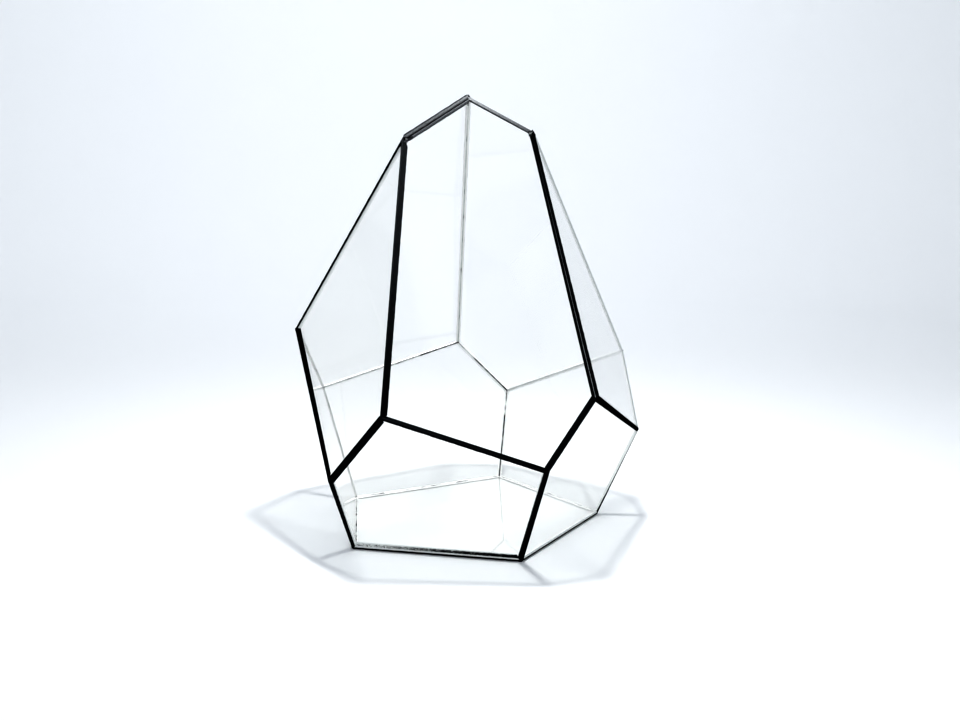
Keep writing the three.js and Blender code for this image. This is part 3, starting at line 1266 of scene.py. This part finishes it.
@dataclass(frozen=True)
class Lamp:
    """A round area light: where it hangs, what it points at, its width in metres and its power in watts."""

    name: str
    place: tuple[float, float, float]
    aim: tuple[float, float, float]
    width: float
    power: float
    colour: str = "#ffffff"

    def hang(self) -> None:
        """Adds the light to the scene, hidden from the camera itself."""
        data = bpy.data.lights.new(self.name, "AREA")
        data.shape = "DISK"
        data.size = self.width
        data.energy = self.power
        data.color = linear(self.colour)[:3]
        lamp = bpy.data.objects.new(self.name, data)
        lamp.location = self.place
        lamp.rotation_euler = (Vector(self.aim) - Vector(self.place)).to_track_quat("-Z", "Y").to_euler()
        lamp.visible_camera = False
        bpy.context.scene.collection.objects.link(lamp)


LAMPS = (
    Lamp("overhead_lamp", (0.041, 0.012, 0.750), (0.041, 0.012, 0.0), width=0.085, power=2.4),
    Lamp("back_bank", (0.0, 1.3, 1.9), (0.0, 2.5, 0.15), width=1.4, power=11.6, colour="#f8faff"),
    Lamp("front_bank", (0.0, -1.7, 1.8), (0.0, -2.6, 0.6), width=1.6, power=16.0, colour="#f8faff"),
)


@dataclass
class Studio:
    """A plain pale sweep all round, the lamps, and the camera at the open side.

    The camera's angles are in degrees, its lens and sensor in millimetres and all other sizes in metres.
    """

    place: tuple[float, float, float] = (-0.05008, -0.80186, 0.27321)
    heading: float = 4.17  # to the right of straight in
    dip: float = 10.05  # below level
    roll: float = 0.93  # to the left
    lens: float = 37.74
    sensor: float = 36.0
    sweep_radius: float = 2.6
    bend: float = 0.9  # radius of the curve from floor to wall
    wall: float = 3.2  # height of the wall
    hub: float = 0.02  # radius of the small disc in the middle of the floor
    floor_rings: int = 30
    bend_rings: int = 24
    round_points: int = 96
    paper: SeamlessPaper = SeamlessPaper()
    room: str = "#aeb2b8"
    room_light: float = 0.8

    def build(self) -> None:
        """Sets the sweep, the lamps, the dim light of the room and the camera."""
        self._sweep()
        for lamp in LAMPS:
            lamp.hang()
        world = bpy.data.worlds.new("room")
        world.use_nodes = True
        background = world.node_tree.nodes["Background"]
        background.inputs["Color"].default_value = linear(self.room)
        background.inputs["Strength"].default_value = self.room_light
        bpy.context.scene.world = world
        bpy.context.scene.view_settings.view_transform = "Standard"
        bpy.context.scene.view_settings.look = "Very High Contrast"
        self._camera()

    def _sweep(self) -> None:
        """Makes a round floor that curves up into a wall.

        It is a level line, a quarter circle and an upright line, carried round the middle.
        """
        level = self.sweep_radius - self.bend
        floor = np.linspace(self.hub, level, self.floor_rings)[:-1]
        arc = np.linspace(0, math.pi / 2, self.bend_rings)
        out = np.concatenate([floor, level + self.bend * np.sin(arc), [self.sweep_radius]])
        up = np.concatenate([np.zeros_like(floor), self.bend * (1 - np.cos(arc)), [self.wall]])
        turn = np.linspace(0, 2 * math.pi, self.round_points, endpoint=False)
        rise = np.broadcast_to(up[:, None], (len(up), len(turn)))
        grid = np.stack([out[:, None] * np.cos(turn), out[:, None] * np.sin(turn), rise], -1)
        index = np.arange(rise.size).reshape(rise.shape)
        faces = join_rings(index[:-1], index[1:]) + [index[0].tolist()]
        sweep = smooth_piece("sweep", grid, faces)
        sweep.data.materials.append(self.paper.material())
        sweep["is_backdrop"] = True

    def _camera(self) -> None:
        """Sets the camera: rolled, then dipped, then turned to its heading."""
        data = bpy.data.cameras.new("camera")
        data.lens = self.lens
        data.sensor_width = self.sensor
        camera = bpy.data.objects.new("camera", data)
        camera.location = self.place
        turned = Euler((0, 0, -math.radians(self.heading))).to_matrix()
        dipped = Euler((math.radians(90 - self.dip), 0, 0)).to_matrix()
        rolled = Euler((0, 0, math.radians(self.roll))).to_matrix()
        camera.rotation_euler = (turned @ dipped @ rolled).to_euler()
        bpy.context.scene.collection.objects.link(camera)
        bpy.context.scene.camera = camera


def main() -> None:
    """Builds the terrarium's look round the frame, and its stage."""
    logging.basicConfig(level=logging.INFO, format="%(message)s", force=True)
    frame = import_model()
    low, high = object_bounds()
    body = FacetedBody().build()
    Panes(frame["nodes"]).dress()
    EdgeTape(body).build()
    SolderWork(body, low, high).build()
    Studio().build()


if __name__ == "__main__":
    main()
